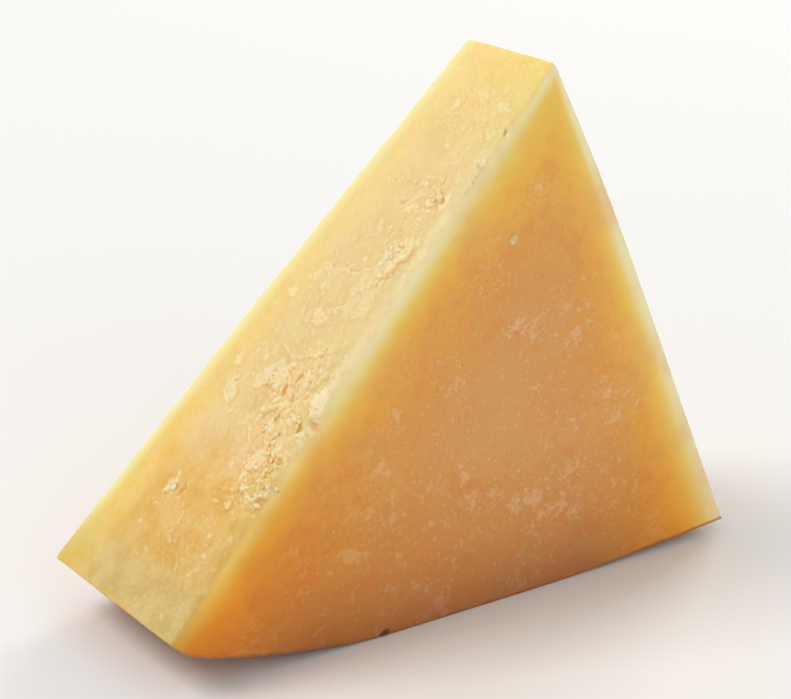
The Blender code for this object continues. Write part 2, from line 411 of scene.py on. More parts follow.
SCATTERED_FLAKES = 420  # tries; most of those off the crumbly places are dropped
shaker = random.Random(7)
for _ in range(SCATTERED_FLAKES):
    up, inward = shaker.uniform(3, 109), shaker.uniform(0.2, 28)
    busy = max(s * max(0.0, 1 - math.hypot((up - u) / l, (inward - v) / w)) for u, v, l, w, s in CRUMBLY)
    length = shaker.uniform(0.45, 0.9) + 0.9 * busy * shaker.random()
    if shaker.random() < 0.16 + 1.3 * busy and inward < 25:
        height = shaker.uniform(0.12, 0.28) + 0.4 * busy * shaker.random()
        turn = shaker.uniform(-90, 90)
        FLAKES.append((up, inward, length, length * shaker.uniform(0.5, 0.9), turn, height))

# Flake tops are marked pale for a painted highlight, the higher flakes the more
lift = np.zeros(len(points))
pale = np.zeros(len(points))
for seed, shape in enumerate(FLAKES):
    here, inside, proud = in_chip(shape, seed)
    top = inside * shape[5] * (0.5 + 0.5 * proud)
    pale[here] = np.where(top > lift[here], inside * min(1.0, 0.15 + 0.9 * shape[5]), pale[here])
    lift[here] = np.maximum(lift[here], top)
sunk = np.zeros(len(points))
for seed, shape in enumerate(PITS):
    here, inside, _ = in_chip(shape, 900 + seed)
    sunk[here] = np.maximum(sunk[here], inside * shape[5])


def ledge(rise, *places):
    """A step along a line that dies away on both sides of it, and how near its upper lip each point is."""
    here = np.stack((up_slope / MM + 0.7 * sway[:, 0], from_ridge / MM + 0.7 * sway[:, 1]), axis=1)
    here += 0.35 * wander[:, :2]
    nearest = np.full(len(points), 99.0)
    side = np.zeros(len(points))
    along = np.zeros(len(points))
    for step, (start, end) in enumerate(zip(places, places[1:])):
        start, run = np.array(start), np.array(end) - np.array(start)
        share = np.clip(((here - start) @ run) / (run @ run), 0.0, 1.0)
        off = here - start - share[:, None] * run
        gone = np.hypot(off[:, 0], off[:, 1])
        nearer = gone < nearest
        side = np.where(nearer, np.sign(off[:, 0] * run[1] - off[:, 1] * run[0]), side)
        along = np.where(nearer, (step + share) / (len(places) - 1), along)
        nearest = np.minimum(nearest, gone)
    taper = smooth(0.0, 0.25, along) * smooth(1.0, 0.75, along)
    taper *= 0.55 + 0.45 * smooth(-0.6, 0.6, wander[:, 2] + sway[:, 2])
    step_up = np.clip(side * np.sign(rise) * nearest / 0.16, -1.0, 1.0) * np.exp(-nearest / 2.6) * taper
    return 0.5 * abs(rise) * step_up, taper * (step_up > 0.0) * (1.0 - smooth(0.1, 0.6, nearest))


stepped_up = np.zeros(len(points))
lip = np.zeros(len(points))
for line in LEDGES:
    step_up, near_lip = ledge(*line)
    stepped_up += step_up
    lip = np.maximum(lip, near_lip)

relief = (
    broad * (0.07 + 0.16 * crumbly)
    + middling * (0.02 + 0.17 * crumbly)
    + small * (0.006 + 0.10 * crumbly)
    + grains * (0.006 + 0.07 * crumbly)
    + fine * (0.004 + 0.05 * crumbly)
    + grit * (0.008 + 0.04 * crumbly)
    + 0.8 * lift
    - 0.9 * sunk
    + 1.3 * stepped_up
)
to_the_edge = smooth(0.4, 3.0, up_slope / MM) * smooth(0.4, 3.0, (SLOPE_LENGTH - up_slope) / MM)
relief *= on_break * to_the_edge * smooth(0.0, 4.0, under[1] / MM)
relief = np.clip(relief, -1.1, 1.0)  # mm out from the solid's faces


def spread(values, rounds):
    """The values evened out with their neighbours', over and over."""
    starts, ends = edges.T
    size = len(values)
    count = np.bincount(starts, minlength=size) + np.bincount(ends, minlength=size)
    for _ in range(rounds):
        total = np.bincount(starts, values[ends], size) + np.bincount(ends, values[starts], size)
        values = 0.5 * values + 0.5 * total / count
    return values


stands_out = np.clip((relief - spread(relief, 14)) / 0.16, -1.0, 1.0) * on_break

# The cuts are close, with slow waves from the knife and a fine drag; they die away at the floor
waves = noise_at(points, 14 * MM)
curd = fractal_at(points, 1.6 * MM, 0.9)
off_floor = smooth(0.05, 0.6, under[4] / MM)
relief += (1.0 - on_break) * off_floor * (0.07 * waves + 0.018 * curd)

points += normals * (relief * MM)[:, None]
for vertex, place in zip(skin.verts, points):
    vertex.co = place

# How pale, how deep, how near an edge and how near the rind each point is, for the paste's colours
# Pale is a painted highlight where the break stands out; deep is painted amber shade in its hollows and
# pits
patchy = smooth(-0.15, 0.35, noise_at(points, 2.2 * MM, (9, 4, 2)))
mealy = smooth(-0.5, 0.5, grit) * 0.6 + 0.5
hollow = np.maximum(-stands_out, 0.0) * (0.25 + 0.75 * patchy) * (0.35 + 0.65 * crumbly)
deep = on_break * np.clip(np.maximum(sunk * 1.4, hollow), 0.0, 1.0)

# The cuts' pale margin, a painted glow of light through the thin edges, is narrower along the side than
# along the break,
# and uneven on both: (height in mm, how fast it fades) up the side, and (share of the slope, how fast) up
# the ridge
SIDE_MARGIN = ((8, 0.72), (22, 0.78), (34, 1.0), (42, 1.0), (60, 1.15), (76, 1.3))
RIDGE_MARGIN = ((0.20, 1.0), (0.31, 1.32), (0.43, 1.0), (0.56, 1.25), (0.67, 1.25), (0.76, 1.0))
off_side = np.abs(under[3])
off_side = 1.12 * off_side + 0.8 * MM * (1.0 - np.exp(-off_side / (0.8 * MM)))
off_side *= np.interp(points[:, 2] / MM, *zip(*SIDE_MARGIN))
off_faces = np.array((np.abs(under[0]), np.abs(under[1]), np.abs(under[2]) / 1.15, off_side))
second_nearest = np.sort(off_faces, axis=0)[1]
by_the_ridge = smooth(14.0, 8.0, under[2] / MM) * smooth(14.0, 8.0, from_ridge / MM)
fading = np.interp(up_slope / SLOPE_LENGTH, *zip(*RIDGE_MARGIN)) * (1.0 + 0.16 * sway[:, 0])
nearest_edge = second_nearest * (1.0 + by_the_ridge * (fading - 1.0))
from_heel = np.hypot(points[:, 0] - HEEL.x, points[:, 2] - HEEL.y)
from_toe = np.hypot(points[:, 0] - TOE.x, points[:, 2] - TOE.y)
FLECKED = (  # where the front has most pale flecks: (along, height, half length, half height), mm
    (70.5, 17.2, 8, 5),
    (35.9, 16.9, 8, 4),
    (54.8, 43.7, 6, 6),
    (69.9, 49.0, 8, 4),
    (79.9, 20.0, 6, 4),
    (40.9, 30.2, 5, 4),
    (79.3, 44.9, 5, 4),
    (70.6, 72.7, 5, 4),
    (24.1, 13.1, 6, 4),
    (63.8, 5.6, 4, 5),
)
bloom = 0.45 * smooth(-0.1, 0.5, noise_at(points, 9 * MM))
bloom += 0.35 * smooth(46.0, 14.0, points[:, 2] / MM)
for along, height, half_length, half_height in FLECKED:
    gone = np.hypot(
        ((points[:, 0] - HEEL.x) / MM - along) / half_length, (points[:, 2] / MM - height) / half_height
    )
    bloom = np.maximum(bloom, (1.0 - smooth(0.2, 1.0, gone)) * smooth(3.0, 1.0, from_ridge / MM))

# Patches of the break that are paler, or yellower where the last value is below 0:
# (up the slope, in from the ridge, half length, half width, how much), mm
BREAK_PATCHES = (
    (32, 22, 6, 6, 0.6),
    (32, 10, 6, 5, 0.8),
    (68, 18, 6, 6, 0.55),
    (14, 3, 6, 4, 0.3),
    (41, 14, 5, 5, -0.9),
    (50, 6, 5, 4, -0.8),
    (41, 26, 6, 4, -0.5),
    (94, 14, 6, 6, -0.4),
)
patch = np.zeros(len(points))
for up, inward, half_length, half_width, share in BREAK_PATCHES:
    gone = np.hypot((up_slope / MM - up) / half_length, (from_ridge / MM - inward) / half_width)
    patch += share * (1.0 - smooth(0.2, 1.1, gone + 0.35 * sway[:, 2] + 0.25 * wander[:, 2]))

clouds = fractal_at(points, 13 * MM, 0.8)
mottle = fractal_at(points, 4.2 * MM, 0.8, (3, 1, 7))
from_tip = np.hypot(points[:, 0] - TIP.x, points[:, 2] - TIP.y)
heel_ember = smooth(1.0, 4.0, nearest_edge / MM) * smooth(19.0, 8.0, nearest_edge / MM)
heel_ember *= np.clip(1.0 - from_heel / (42 * MM), 0.0, 1.0)
toe_ember = smooth(2.5, 7.0, nearest_edge / MM) * smooth(24.0, 12.0, nearest_edge / MM)
toe_ember *= np.clip(1.1 - from_toe / (34 * MM), 0.0, 1.0)
ember = np.maximum(heel_ember, toe_ember)
# How strongly the browning by the rind and its painted shade show, from the heel to the toe
browned_and_shaded_share = np.interp(from_heel / MM, (4.0, 14.0, 28.0), (0.75, 0.5, 1.0))
COLOUR_DEPTH = 30 * MM  # how far in from an edge, or up from the rind, the paste's colours go on changing
chunk_mesh = bpy.data.meshes.new("cheese_chunk")
skin.to_mesh(chunk_mesh)
skin.free()
chunk_mesh.shade_smooth()
for name, values in (
    ("broken", on_break),
    # pale and deep carry a painted highlight and painted shade
    ("pale", np.clip(np.maximum(pale * mealy, 0.45 * lip) + 0.6 * stands_out, 0.0, 1.0) * on_break),
    ("deep", deep),
    ("tone", 0.5 + 0.5 * (0.4 * middling_tone + 0.3 * grain_tone + 0.3 * fine_tone)),
    ("crumbly", crumbly * on_break),
    ("up", np.clip(up_slope / SLOPE_LENGTH, 0.0, 1.0)),
    ("edge", np.clip(nearest_edge / COLOUR_DEPTH, 0.0, 1.0)),
    ("back edge", np.clip(under[1] / COLOUR_DEPTH, 0.0, 1.0)),
    ("rind", np.clip(under[4] / COLOUR_DEPTH, 0.0, 1.0)),
    ("heel", np.clip(1.0 - from_heel / (65 * MM), 0.0, 1.0)),
    ("browned_and_shaded", browned_and_shaded_share * (0.1 + 0.9 * smooth(8.0, 34.0, from_toe / MM))),
    ("bloom", bloom),
    ("clouds", clouds),
    ("mottle", mottle),
    ("ember", ember),
    ("tip", np.clip(1.0 - from_tip / (36 * MM), 0.0, 1.0)),
    ("paler", np.clip(patch, 0.0, 1.0)),
    ("yellower", np.clip(-patch, 0.0, 1.0)),
):
    layer = chunk_mesh.attributes.new(name, "FLOAT", "POINT")
    layer.data.foreach_set("value", values.astype(np.float32))


def paint(red, green, blue):
    """A colour from its 0 to 255 values, as a shader takes it."""
    parts = [c / 255.0 for c in (red, green, blue)]
    return tuple(c / 12.92 if c < 0.04045 else ((c + 0.055) / 1.055) ** 2.4 for c in parts) + (1.0,)


def add(tree, kind, inputs=None, **settings):
    """A node of that kind with its settings, its inputs given values or joined to other nodes' outputs."""
    made = tree.nodes.new("ShaderNode" + kind)
    for name, value in settings.items():
        setattr(made, name, value)
    for socket, value in (inputs or {}).items():
        if isinstance(value, bpy.types.NodeSocket):
            tree.links.new(value, made.inputs[socket])
        else:
            made.inputs[socket].default_value = value
    return made


def blended(tree, share, under_colour, over_colour, mode="MIX"):
    """One colour over another by a share."""
    mixer = add(tree, "Mix", {0: share, 6: under_colour, 7: over_colour}, data_type="RGBA", blend_type=mode)
    return mixer.outputs[2]


def worked(tree, operation, *values, clamp=False):
    """The result of a sum on one, two or three values."""
    return add(tree, "Math", dict(enumerate(values)), operation=operation, use_clamp=clamp).outputs[0]


def stepped(tree, value, low, high):
    """0 where the value is under low, 1 where it is over high, and smooth between."""
    inputs = {"Value": value, "From Min": low, "From Max": high}
    return add(tree, "MapRange", inputs, interpolation_type="SMOOTHSTEP").outputs[0]


def shaded(tree, share, stops):
    """A run of colours along a share: (place, colour) pairs."""
    ramp = add(tree, "ValToRGB", {"Fac": share})
    bands = ramp.color_ramp.elements
    while len(bands) < len(stops):
        bands.new(0.5)
    for band, (place, colour) in zip(bands, stops):
        band.position = place
        band.color = colour
    return ramp.outputs["Color"]


def curd_grain_group():
    """Aged curd close to: granules packed side by side, some of them pale and a few of them dark."""
    group = bpy.data.node_groups.new("curd grain", "ShaderNodeTree")
    for name in ("Granule Size", "Pale Share", "Dark Share"):
        group.interface.new_socket(name, in_out="INPUT", socket_type="NodeSocketFloat")
    for name in ("Height", "Pale", "Dark"):
        group.interface.new_socket(name, in_out="OUTPUT", socket_type="NodeSocketFloat")
    inlet = group.nodes.new("NodeGroupInput").outputs
    outlet = group.nodes.new("NodeGroupOutput").inputs
    scale = worked(group, "DIVIDE", 1.0, inlet["Granule Size"])
    place = add(group, "TexCoord").outputs["Object"]
    fineness = worked(group, "MULTIPLY", scale, 1.3)
    rough = add(group, "TexNoise", {"Vector": place, "Scale": fineness, "Detail": 3.0})
    pushed = worked(group, "MULTIPLY", rough.outputs[0], inlet["Granule Size"])
    bent = add(group, "VectorMath", {0: place, 1: pushed}, operation="ADD").outputs[0]
    cells = add(group, "TexVoronoi", {"Vector": bent, "Scale": scale}, feature="F1")
    traits = add(group, "SeparateColor", {"Color": cells.outputs["Color"]}).outputs
    body = stepped(group, cells.outputs["Distance"], 0.62, 0.25)
    chosen = worked(group, "SUBTRACT", inlet["Pale Share"], traits[0])
    pale = worked(group, "MULTIPLY", stepped(group, chosen, 0.0, 0.25), body)
    chosen = worked(group, "SUBTRACT", inlet["Dark Share"], traits[1])
    dark = worked(group, "MULTIPLY", stepped(group, chosen, 0.0, 0.25), body)
    dome = worked(group, "MULTIPLY", worked(group, "SUBTRACT", 1.0, cells.outputs["Distance"]), 0.6)
    group.links.new(worked(group, "MULTIPLY_ADD", rough.outputs[0], 0.6, dome), outlet["Height"])
    group.links.new(pale, outlet["Pale"])
    group.links.new(dark, outlet["Dark"])
    return group


curd_grain = curd_grain_group()

CUT_BY_DEPTH_WITH_EDGE_GLOW = (  # a cut's colour by its distance in from the nearest edge, as a share of COLOUR_DEPTH; the pale edge is painted glow
    (0.000, paint(253, 242, 202)),
    (0.036, paint(255, 238, 184)),
    (0.076, paint(255, 228, 150)),
    (0.110, paint(255, 215, 114)),
    (0.166, paint(253, 200, 88)),
    (0.260, paint(245, 182, 76)),
    (0.430, paint(234, 168, 81)),
    (0.750, paint(226, 166, 92)),
)
BREAK_BY_HEIGHT = (  # the break's colour up the slope, from the heel to the tip
    (0.00, paint(209, 180, 106)),
    (0.06, paint(212, 180, 108)),
    (0.11, paint(222, 174, 82)),
    (0.23, paint(228, 178, 85)),
    (0.29, paint(230, 191, 117)),
    (0.33, paint(234, 205, 142)),
    (0.41, paint(234, 206, 146)),
    (0.50, paint(231, 203, 142)),
    (0.80, paint(237, 208, 148)),
    (1.00, paint(247, 217, 124)),
)
BROWNING_AND_SHADE = (  # how the paste browns and darkens up from the rind, real browning with painted shade, as a share of COLOUR_DEPTH
    (0.00, paint(205, 178, 170)),
    (0.20, paint(228, 211, 203)),
    (0.45, paint(246, 234, 223)),
    (0.90, paint(255, 255, 255)),
)
CREAM = paint(252, 239, 202)
AMBER = paint(240, 160, 58)


def paste_material():
    """Aged paste: amber and waxy where cut, straw pale where broken, browner towards the rind."""
    made = bpy.data.materials.new("aged cheese paste")
    made.use_nodes = True
    tree = made.node_tree
    shader = tree.nodes["Principled BSDF"]

    def measured(name):
        return add(tree, "Attribute", attribute_name=name).outputs["Fac"]

    def times(first, *others):
        for other in others:
            first = worked(tree, "MULTIPLY", first, other)
        return first

    def over(under_colour, colour, *shares):
        return blended(tree, times(*shares), under_colour, colour)

    def tinted(under_colour, colour, share):
        return blended(tree, share, under_colour, colour, "MULTIPLY")

    place = add(tree, "TexCoord").outputs["Object"]
    broken, edge = measured("broken"), measured("edge")
    bloom, mottle = measured("bloom"), measured("mottle")
    grain = add(tree, "Group", {}, node_tree=curd_grain)
    grain.inputs["Granule Size"].default_value = 0.62 * MM
    tree.links.new(worked(tree, "MULTIPLY_ADD", bloom, 0.30, 0.22), grain.inputs["Pale Share"])
    tree.links.new(worked(tree, "MULTIPLY_ADD", bloom, 0.20, 0.20), grain.inputs["Dark Share"])
    pale_grain, dark_grain, grain_height = (grain.outputs[name] for name in ("Pale", "Dark", "Height"))
    flecks = {"Vector": place, "Scale": 430.0, "Detail": 5.0, "Roughness": 0.72}
    fleck = add(tree, "TexNoise", flecks).outputs[0]

    # The cuts: painted glow at their edges and amber inside, clouded, flecked, and browner by the rind,
    # partly painted shade
    inside = stepped(tree, edge, 0.10, 0.35)
    flecked = stepped(tree, worked(tree, "MULTIPLY_ADD", bloom, 0.17, fleck), 0.63, 0.74)
    cut = shaded(tree, edge, CUT_BY_DEPTH_WITH_EDGE_GLOW)
    # Painted light: brighter and yellower on the front near the thin tip, away from its edges
    cut = over(cut, paint(255, 205, 84), measured("tip"), 0.85, stepped(tree, edge, 0.03, 0.12))
    cut = over(cut, paint(226, 174, 106), stepped(tree, measured("clouds"), -0.2, 0.8), 0.40)
    cut = over(cut, paint(232, 150, 72), stepped(tree, mottle, 0.1, 0.6), 0.34, inside)
    cut = over(cut, paint(218, 166, 96), stepped(tree, mottle, -0.1, -0.6), 0.34, inside)
    cut = over(cut, paint(242, 208, 168), flecked, 0.52, inside)
    cut = over(cut, paint(248, 206, 152), pale_grain, 0.34, inside)
    cut = over(cut, paint(196, 116, 60), dark_grain, 0.22, inside)
    # Darker low on the cuts: real browning by the rind and painted shade towards the floor
    cut = tinted(cut, shaded(tree, measured("rind"), BROWNING_AND_SHADE), measured("browned_and_shaded"))
    cut = tinted(cut, paint(255, 226, 106), measured("heel"))
    cut = tinted(cut, paint(255, 232, 122), measured("ember"))

    # The break: straw, with painted glow along the thin back edge, painted highlight on flakes, painted
    # amber shade in pits
    up, heel, back_edge, crumbly = (measured(name) for name in ("up", "heel", "back edge", "crumbly"))
    rough_share = worked(tree, "MULTIPLY_ADD", crumbly, 1.0, 0.35)
    straw = shaded(tree, up, BREAK_BY_HEIGHT)
    # Painted glow: gold, then pale yellow at the rim, where light shines through the thin back edge
    gold = blended(tree, up, paint(248, 208, 96), paint(251, 219, 146))
    straw = over(straw, gold, stepped(tree, back_edge, 0.42, 0.10), 0.75)
    glow = times(stepped(tree, back_edge, 0.13, 0.0), stepped(tree, heel, 1.0, 0.75))
    straw = over(straw, paint(252, 238, 178), glow)
    straw = over(straw, paint(238, 194, 116), stepped(tree, measured("tone"), 0.3, 0.75), crumbly, 0.35)
    straw = over(straw, paint(246, 227, 168), stepped(tree, mottle, -0.6, 0.6), 0.24)
    straw = over(straw, paint(240, 216, 174), measured("paler"), 0.45)
    straw = over(straw, paint(221, 185, 112), measured("yellower"), 0.45)
    straw = over(straw, CREAM, pale_grain, 0.24, rough_share)
    straw = over(straw, AMBER, dark_grain, 0.18, rough_share)
    straw = tinted(straw, paint(249, 255, 252), stepped(tree, edge, 0.24, 0.04))
    # Painted highlight: a pale cream band on the break along the worn ridge
    up_the_ridge = times(stepped(tree, up, 0.27, 0.38), stepped(tree, up, 0.90, 0.76))
    by_ridge = times(stepped(tree, edge, 0.13, 0.02), stepped(tree, back_edge, 0.1, 0.2))
    straw = over(straw, paint(250, 240, 206), up_the_ridge, by_ridge, 0.40)
    at_heel = times(stepped(tree, back_edge, 0.40, 0.05), stepped(tree, heel, 0.76, 0.96))
    straw = tinted(straw, paint(240, 241, 236), at_heel)
    # Painted highlight on flake tops, lips and rims, and painted amber shade in pits and hollows
    straw = over(straw, CREAM, measured("pale"), 0.62)
    straw = over(straw, AMBER, measured("deep"), 0.62)

    # The rind: dry and brown, in a thin layer under both
    rind = blended(tree, stepped(tree, mottle, -0.9, 0.9), paint(166, 104, 54), paint(186, 124, 68))
    rind = over(rind, paint(206, 152, 98), stepped(tree, fleck, 0.50, 0.66), 0.30)
    rind = over(rind, paint(122, 68, 36), dark_grain, 0.40)
    rind_band = times(stepped(tree, measured("rind"), 0.030, 0.010), 0.82)
    colour = over(blended(tree, broken, cut, straw), rind, rind_band)
    tree.links.new(colour, shader.inputs["Base Color"])

    roughness = worked(tree, "MULTIPLY_ADD", broken, 0.16, 0.40)
    roughness = worked(tree, "MULTIPLY_ADD", grain_height, 0.14, roughness)
    tree.links.new(roughness, shader.inputs["Roughness"])
    strength = worked(tree, "MULTIPLY_ADD", broken, 0.15, worked(tree, "MULTIPLY_ADD", bloom, 0.22, 0.08))
    strength = worked(tree, "MULTIPLY_ADD", rind_band, 0.5, strength)
    height = worked(tree, "MULTIPLY_ADD", flecked, 0.5, grain_height)
    bump = add(tree, "Bump", {"Height": times(height, strength), "Strength": 0.6, "Distance": 0.6 * MM})
    tree.links.new(bump.outputs[0], shader.inputs["Normal"])
    shader.inputs["Subsurface Weight"].default_value = 0.85
    shader.inputs["Subsurface Radius"].default_value = (1.0, 0.55, 0.22)
    shader.inputs["Subsurface Scale"].default_value = 1.6 * MM
    shader.inputs["Specular IOR Level"].default_value = 0.4
    return made


chunk_mesh.materials.append(paste_material())
chunk = bpy.data.objects.new("cheese_chunk", chunk_mesh)
bpy.context.scene.collection.objects.link(chunk)
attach(chunk, "root")
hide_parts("chunk")

# ---------------------------------------------------------------------------------------------------
# The crumbs: granules of curd that came loose as the slope was broken and still cling to it. Each is a
# dry angular grain, sunk a little into the break. They lie in heaps where the break is crumbly.
# ---------------------------------------------------------------------------------------------------
CRUMB_HEAPS = (  # (up the slope, in from the ridge, spread, crumbs, largest), mm
    (27.4, 2.2, 1.6, 18, 0.95),
    (29.4, 0.6, 1.1, 8, 0.75),
    (28.2, 6.4, 1.6, 14, 0.85),
    (24.2, 7.3, 1.0, 7, 0.65),
    (31.0, 4.4, 1.6, 10, 0.80),
    (33.4, 3.0, 1.6, 12, 0.90),
    (36.2, 5.8, 1.7, 12, 0.90),
    (38.6, 9.4, 1.7, 10, 0.80),
    (41.4, 4.2, 1.4, 9, 0.85),
    (44.6, 9.6, 1.5, 8, 0.70),
    (45.4, 15.0, 1.6, 8, 0.70),
    (40.6, 22.0, 1.4, 6, 0.65),
    (70.8, 6.6, 1.4, 7, 0.70),
    (83.4, 6.0, 1.1, 7, 0.75),
    (92.2, 0.9, 0.7, 4, 0.55),
    (22.0, 22.4, 0.9, 5, 0.65),
)

surface = BVHTree.FromPolygons(
    [v.co.copy() for v in chunk_mesh.vertices], [tuple(p.vertices) for p in chunk_mesh.polygons]
)


def on_the_break(up, inward):
    """The point of the break's skin at a place (up the slope, in from the ridge, mm), and its normal."""
    foot = HEEL + SLOPE * up * MM
    start = Vector((foot.x, FRONT + inward * MM, foot.y)) + Vector(BREAK_NORMAL) * 5 * MM
    place, normal, _, _ = surface.ray_cast(start, -Vector(BREAK_NORMAL), 8 * MM)
    return place, normal


def angular_grain(shell, centre, radius, facing, dice):
    """Adds a squashed grain with flat faces, in mm: the hull of a few points about its centre."""
    spun = Matrix.Rotation(dice.uniform(0, math.tau), 3, "Z")
    turned = facing.to_track_quat("Z", "Y").to_matrix() @ spun
    leaning = Matrix.Rotation(dice.gauss(0, 0.25), 3, "X") @ Matrix.Rotation(dice.gauss(0, 0.25), 3, "Y")
    lengths = (dice.uniform(0.8, 1.3), dice.uniform(0.6, 1.0), dice.uniform(0.32, 0.55))
    corners = []
    for _ in range(dice.randint(10, 14)):
        way = Vector((dice.gauss(0, 1), dice.gauss(0, 1), dice.gauss(0, 1))).normalized()
        way = Vector(w * length for w, length in zip(way, lengths)) * dice.uniform(0.85, 1.1)
        corners.append(shell.verts.new(centre + turned @ leaning @ way * radius))
    bmesh.ops.convex_hull(shell, input=corners, use_existing_faces=False)
    return corners


sprinkler = random.Random(31)
crumb_sites = []
for up, inward, spread_out, count, largest in CRUMB_HEAPS:
    for _ in range(count):
        turn, gone = sprinkler.uniform(0, math.tau), spread_out * math.sqrt(sprinkler.random())
        size = 0.20 + (largest - 0.20) * sprinkler.random() ** 2.2
        crumb_sites.append((up + gone * math.cos(turn) * 1.3, inward + gone * math.sin(turn), size))

shell = bmesh.new()
tone_of = shell.verts.layers.float.new("tone")
for up, inward, radius in crumb_sites:
    place, normal = on_the_break(up, inward)
    if place is None:
        continue
    shade = sprinkler.random()
    for vertex in angular_grain(shell, place / MM + normal * 0.05 * radius, radius, normal, sprinkler):
        vertex[tone_of] = shade
bmesh.ops.delete(shell, geom=[v for v in shell.verts if not v.link_faces], context="VERTS")
shell.verts.index_update()


def face_order(face):
    """A number for a face from its corners', so that the faces come in the same order each time."""
    corners = sorted(v.index for v in face.verts)
    return sum(corner * len(shell.verts) ** i for i, corner in enumerate(corners))


shell.faces.sort(key=face_order)
bmesh.ops.recalc_face_normals(shell, faces=shell.faces)
bmesh.ops.scale(shell, vec=(MM, MM, MM), verts=shell.verts)
crumb_mesh = bpy.data.meshes.new("curd_crumbs")
shell.to_mesh(crumb_mesh)
shell.free()
crumb_mesh.shade_smooth()

CRUMB_SHADES = (  # from the darkest grains to the palest
    (0.0, paint(249, 207, 126)),
    (0.4, paint(253, 219, 146)),
    (0.8, paint(255, 230, 170)),
    (1.0, paint(255, 240, 198)),
)


def crumb_material():
    """Dry granules: cream to straw, each its own shade, with a mealy face."""
    made = bpy.data.materials.new("dry curd granules")
    made.use_nodes = True
    tree = made.node_tree
    shader = tree.nodes["Principled BSDF"]
    grain = add(tree, "Group", {}, node_tree=curd_grain)
    grain.inputs["Granule Size"].default_value = 0.25 * MM
    grain.inputs["Pale Share"].default_value = 0.4
    tone = add(tree, "Attribute", attribute_name="tone").outputs["Fac"]
    colour = shaded(tree, tone, CRUMB_SHADES)
    colour = blended(tree, worked(tree, "MULTIPLY", grain.outputs["Pale"], 0.4), colour, CREAM)
    tree.links.new(colour, shader.inputs["Base Color"])
    roughness = worked(tree, "MULTIPLY_ADD", grain.outputs["Height"], 0.15, 0.5)
    tree.links.new(roughness, shader.inputs["Roughness"])
    bump = add(tree, "Bump", {"Height": grain.outputs["Height"], "Strength": 0.3, "Distance": 0.08 * MM})
    tree.links.new(bump.outputs[0], shader.inputs["Normal"])
    return made


crumb_mesh.materials.append(crumb_material())
crumbs = bpy.data.objects.new("curd_crumbs", crumb_mesh)
bpy.context.scene.collection.objects.link(crumbs)
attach(crumbs, "root")

# ---------------------------------------------------------------------------------------------------
# The crystals: hard white grains that grow in the paste as it ages. The knife leaves them standing
# just proud of the cuts. One on the front is 2 mm across; the rest are specks.
# ---------------------------------------------------------------------------------------------------
# On the front: (along from the heel, height, radius), mm
FRONT_CRYSTALS = ((66.9, 64.8, 0.98), (58.0, 33.0, 0.26), (31.4, 22.0, 0.24), (86.0, 31.0, 0.22))
SPECKS_A_FACE = 8

dice = random.Random(5)
crystals = [(Vector((HEEL.x + along * MM, FRONT - 3 * MM, height * MM)), Vector((0, 1, 0)), radius)
            for along, height, radius in FRONT_CRYSTALS]
for _ in range(SPECKS_A_FACE):
    for face_y, way in ((FRONT - 3 * MM, 1.0), (-FRONT + 3 * MM, -1.0)):
        height = dice.uniform(6, 80)
        left, right = (height - 10) * 0.886 + 4, 108 - height * 0.416  # 4 mm in from break and side
        along = dice.uniform(left, right)
        start = Vector((HEEL.x + along * MM, face_y, height * MM))
        crystals.append((start, Vector((0.0, way, 0.0)), dice.uniform(0.08, 0.17)))

shell = bmesh.new()
for start, way, radius in crystals:
    place, normal, _, _ = surface.ray_cast(start, way)
    if place is None:
        continue
    grown = bmesh.ops.create_icosphere(shell, subdivisions=2, radius=radius * MM)["verts"]
    turned = normal.to_track_quat("Z", "Y").to_matrix()
    seed = Vector((dice.random(), dice.random(), dice.random())) * 50
    for vertex in grown:
        bumpy = 1.0 + 0.12 * noise.noise(vertex.co / (radius * MM) * 1.3 + seed)
        vertex.co = place + turned @ (Vector((vertex.co.x, vertex.co.y, vertex.co.z * 0.35)) * bumpy)
        vertex.co -= normal * 0.12 * radius * MM
crystal_mesh = bpy.data.meshes.new("white_crystals")
shell.to_mesh(crystal_mesh)
shell.free()
crystal_mesh.shade_smooth()


def crystal_material():
    """Chalky white crystal, tinted by the paste round it."""
    made = bpy.data.materials.new("chalky crystal")
    made.use_nodes = True
    tree = made.node_tree
    shader = tree.nodes["Principled BSDF"]
    place = add(tree, "TexCoord").outputs["Object"]
    cloud = add(tree, "TexNoise", {"Vector": place, "Scale": 2600.0, "Detail": 3.0}).outputs[0]
    colour = blended(tree, stepped(tree, cloud, 0.35, 0.65), paint(222, 186, 122), paint(234, 208, 158))
    tree.links.new(colour, shader.inputs["Base Color"])
    tree.links.new(worked(tree, "MULTIPLY_ADD", cloud, 0.2, 0.35), shader.inputs["Roughness"])
    bump = add(tree, "Bump", {"Height": cloud, "Strength": 0.4, "Distance": 0.08 * MM})
    tree.links.new(bump.outputs[0], shader.inputs["Normal"])
    shader.inputs["Subsurface Weight"].default_value = 0.5
    shader.inputs["Subsurface Radius"].default_value = (1.0, 0.7, 0.4)
    shader.inputs["Subsurface Scale"].default_value = 0.4 * MM
    return made


crystal_mesh.materials.append(crystal_material())
white_crystals = bpy.data.objects.new("white_crystals", crystal_mesh)
bpy.context.scene.collection.objects.link(white_crystals)
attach(white_crystals, "root")

# ---------------------------------------------------------------------------------------------------
# The dark fleck: a small dark chip at the foot of the front cut, half pressed into the paste. It is dark
# brown with redder patches, dry and rough.
# ---------------------------------------------------------------------------------------------------
FLECK_AT = (41.6, 0.75)  # (along from the heel, height), mm
FLECK_HALF = Vector((0.95, 0.42, 0.20))  # half its length, height and thickness, mm

